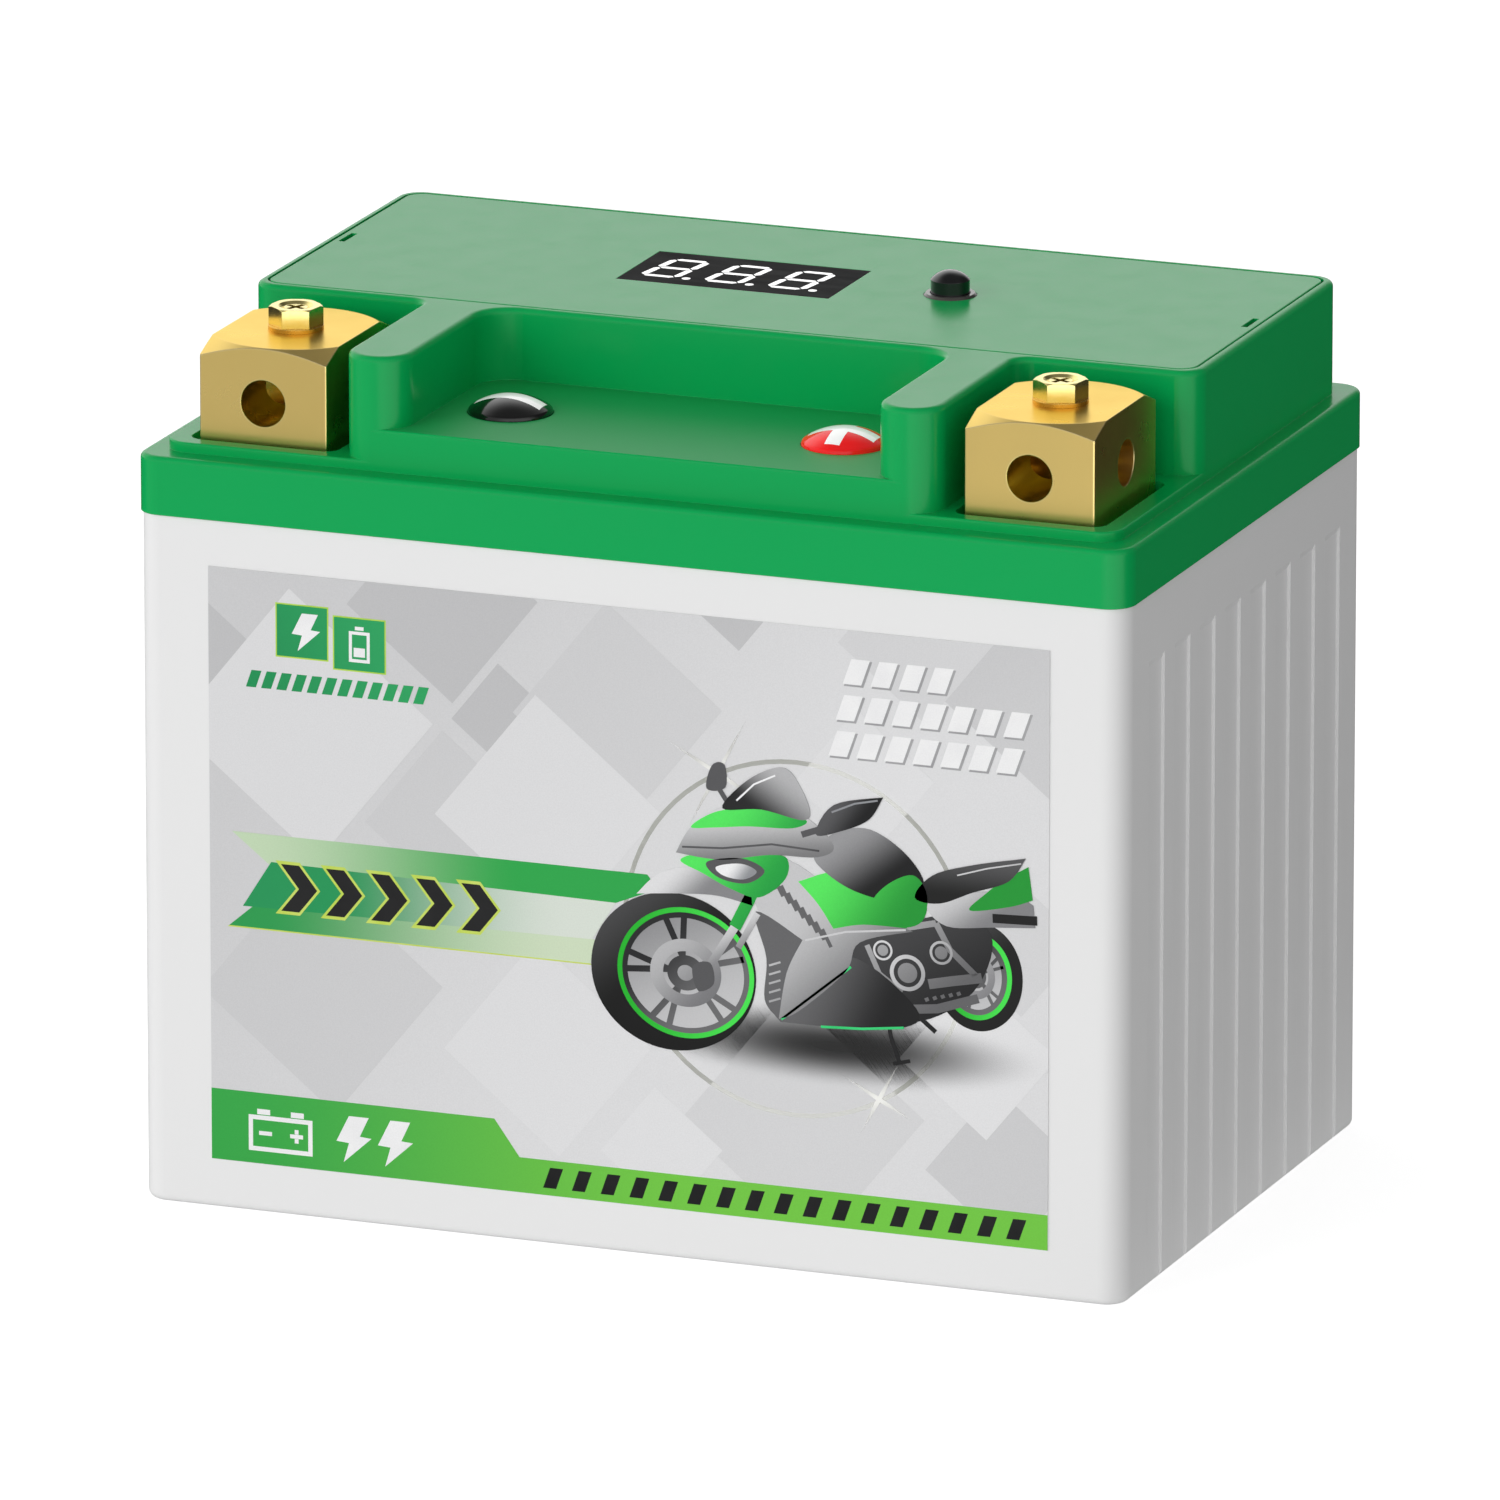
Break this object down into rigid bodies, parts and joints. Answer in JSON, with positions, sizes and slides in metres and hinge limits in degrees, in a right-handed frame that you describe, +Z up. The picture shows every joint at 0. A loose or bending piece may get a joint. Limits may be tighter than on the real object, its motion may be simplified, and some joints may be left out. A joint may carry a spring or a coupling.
{
  "type": "motorcycle battery",
  "caption": "Box-shaped lithium starter battery with a ribbed light case, a stepped green lid, brass block terminals, a voltage display and a test button.",
  "frame": {"origin": "centre of the case bottom", "axes": "+X along the long side towards the positive terminal, +Y from the labelled front to the back, +Z up"},
  "size_m": [0.113, 0.0756, 0.0982],
  "materials": {
    "case_plastic": "satin moulded light grey",
    "lid_plastic": "semi-gloss moulded green",
    "panel_plastic": "semi-gloss moulded green",
    "sealant": "cured sealant",
    "window_plastic": "polished black",
    "segment_light": "lit white",
    "housing_plastic": "matte black",
    "circuit_board": "solder mask",
    "wire_cover": "smooth wire cover",
    "button_plastic": "polished black",
    "bezel_plastic": "polished dark grey",
    "label_film": "laminated print",
    "cell_sleeve": "shrink sleeve",
    "bracket_plastic": "matte black",
    "nickel": "rolled nickel",
    "components": "matte black",
    "foam": "closed-cell foam",
    "insulation": "insulating board",
    "brass": "turned and milled",
    "seal_rubber": "matte black rubber",
    "steel": "zinc plated",
    "copper": "copper strap",
    "gilt_washer": "gilt",
    "gilt_screw": "gilt",
    "marker_black": "polished black",
    "marker_red": "polished red",
    "sign_white": "polished white"
  },
  "bodies": {
    "battery": {"balance_board": "circuit_board", "balance_wires": "wire_cover", "base_pad": "foam", "board_components": "components", "board_pad": "foam", "button_bezel": "bezel_plastic", "case": "case_plastic", "cell_1_front": "cell_sleeve", "cell_1_rear": "cell_sleeve", "cell_2_front": "cell_sleeve", "cell_2_rear": "cell_sleeve", "cell_3_front": "cell_sleeve", "cell_3_rear": "cell_sleeve", "cell_4_front": "cell_sleeve", "cell_4_rear": "cell_sleeve", "cell_bracket_lower": "bracket_plastic", "cell_bracket_upper": "bracket_plastic", "display_board": "circuit_board", "display_housing": "housing_plastic", "display_panel": "panel_plastic", "display_segments": "segment_light", "display_window": "window_plastic", "display_wires": "wire_cover", "front_foam": "foam", "front_label": "label_film", "insulation_sheet": "insulation", "lid": "lid_plastic", "lid_seal": "sealant", "lower_strip_left": "nickel", "lower_strip_right": "nickel", "middle_strip": "nickel", "minus_sign": "sign_white", "negative_marker": "marker_black", "negative_nut": "steel", "negative_seal": "seal_rubber", "negative_strap": "copper", "negative_strip": "nickel", "negative_terminal": "brass", "plus_sign": "sign_white", "positive_marker": "marker_red", "positive_nut": "steel", "positive_seal": "seal_rubber", "positive_strap": "copper", "positive_strip": "nickel", "positive_terminal": "brass", "rear_foam": "foam", "switch_body": "housing_plastic"},
    "push_button": {"push_button": "button_plastic", "switch_plunger": "button_plastic"},
    "negative_washer": {"negative_washer": "gilt_washer"},
    "negative_screw": {"negative_screw": "gilt_screw"},
    "positive_washer": {"positive_washer": "gilt_washer"},
    "positive_screw": {"positive_screw": "gilt_screw"}
  },
  "joints": [
    {"name": "button_press", "type": "slide", "parent": "battery", "child": "push_button", "axis": [0, 0, -1], "range_m": [0, 0.0006], "stiffness_N_per_m": 5, "springref_m": -0.002},
    {"name": "negative_washer_lift", "type": "slide", "parent": "battery", "child": "negative_washer", "axis": [0, 0, 1], "range_m": [0, 0.003]},
    {"name": "negative_screw_turn", "type": "hinge", "parent": "negative_washer", "child": "negative_screw", "pos_m": [-0.0436, -0.023, 0.0946], "axis": [0, 0, 1], "range_deg": [0, 2161]},
    {"name": "positive_washer_lift", "type": "slide", "parent": "battery", "child": "positive_washer", "axis": [0, 0, 1], "range_m": [0, 0.003]},
    {"name": "positive_screw_turn", "type": "hinge", "parent": "positive_washer", "child": "positive_screw", "pos_m": [0.0436, -0.023, 0.0946], "axis": [0, 0, 1], "range_deg": [0, 2161]}
  ],
  "couplings": [
    {"joint": "negative_screw_turn", "follows": "negative_washer_lift", "rad_per_m": 12566},
    {"joint": "positive_screw_turn", "follows": "positive_washer_lift", "rad_per_m": 12566}
  ]
}
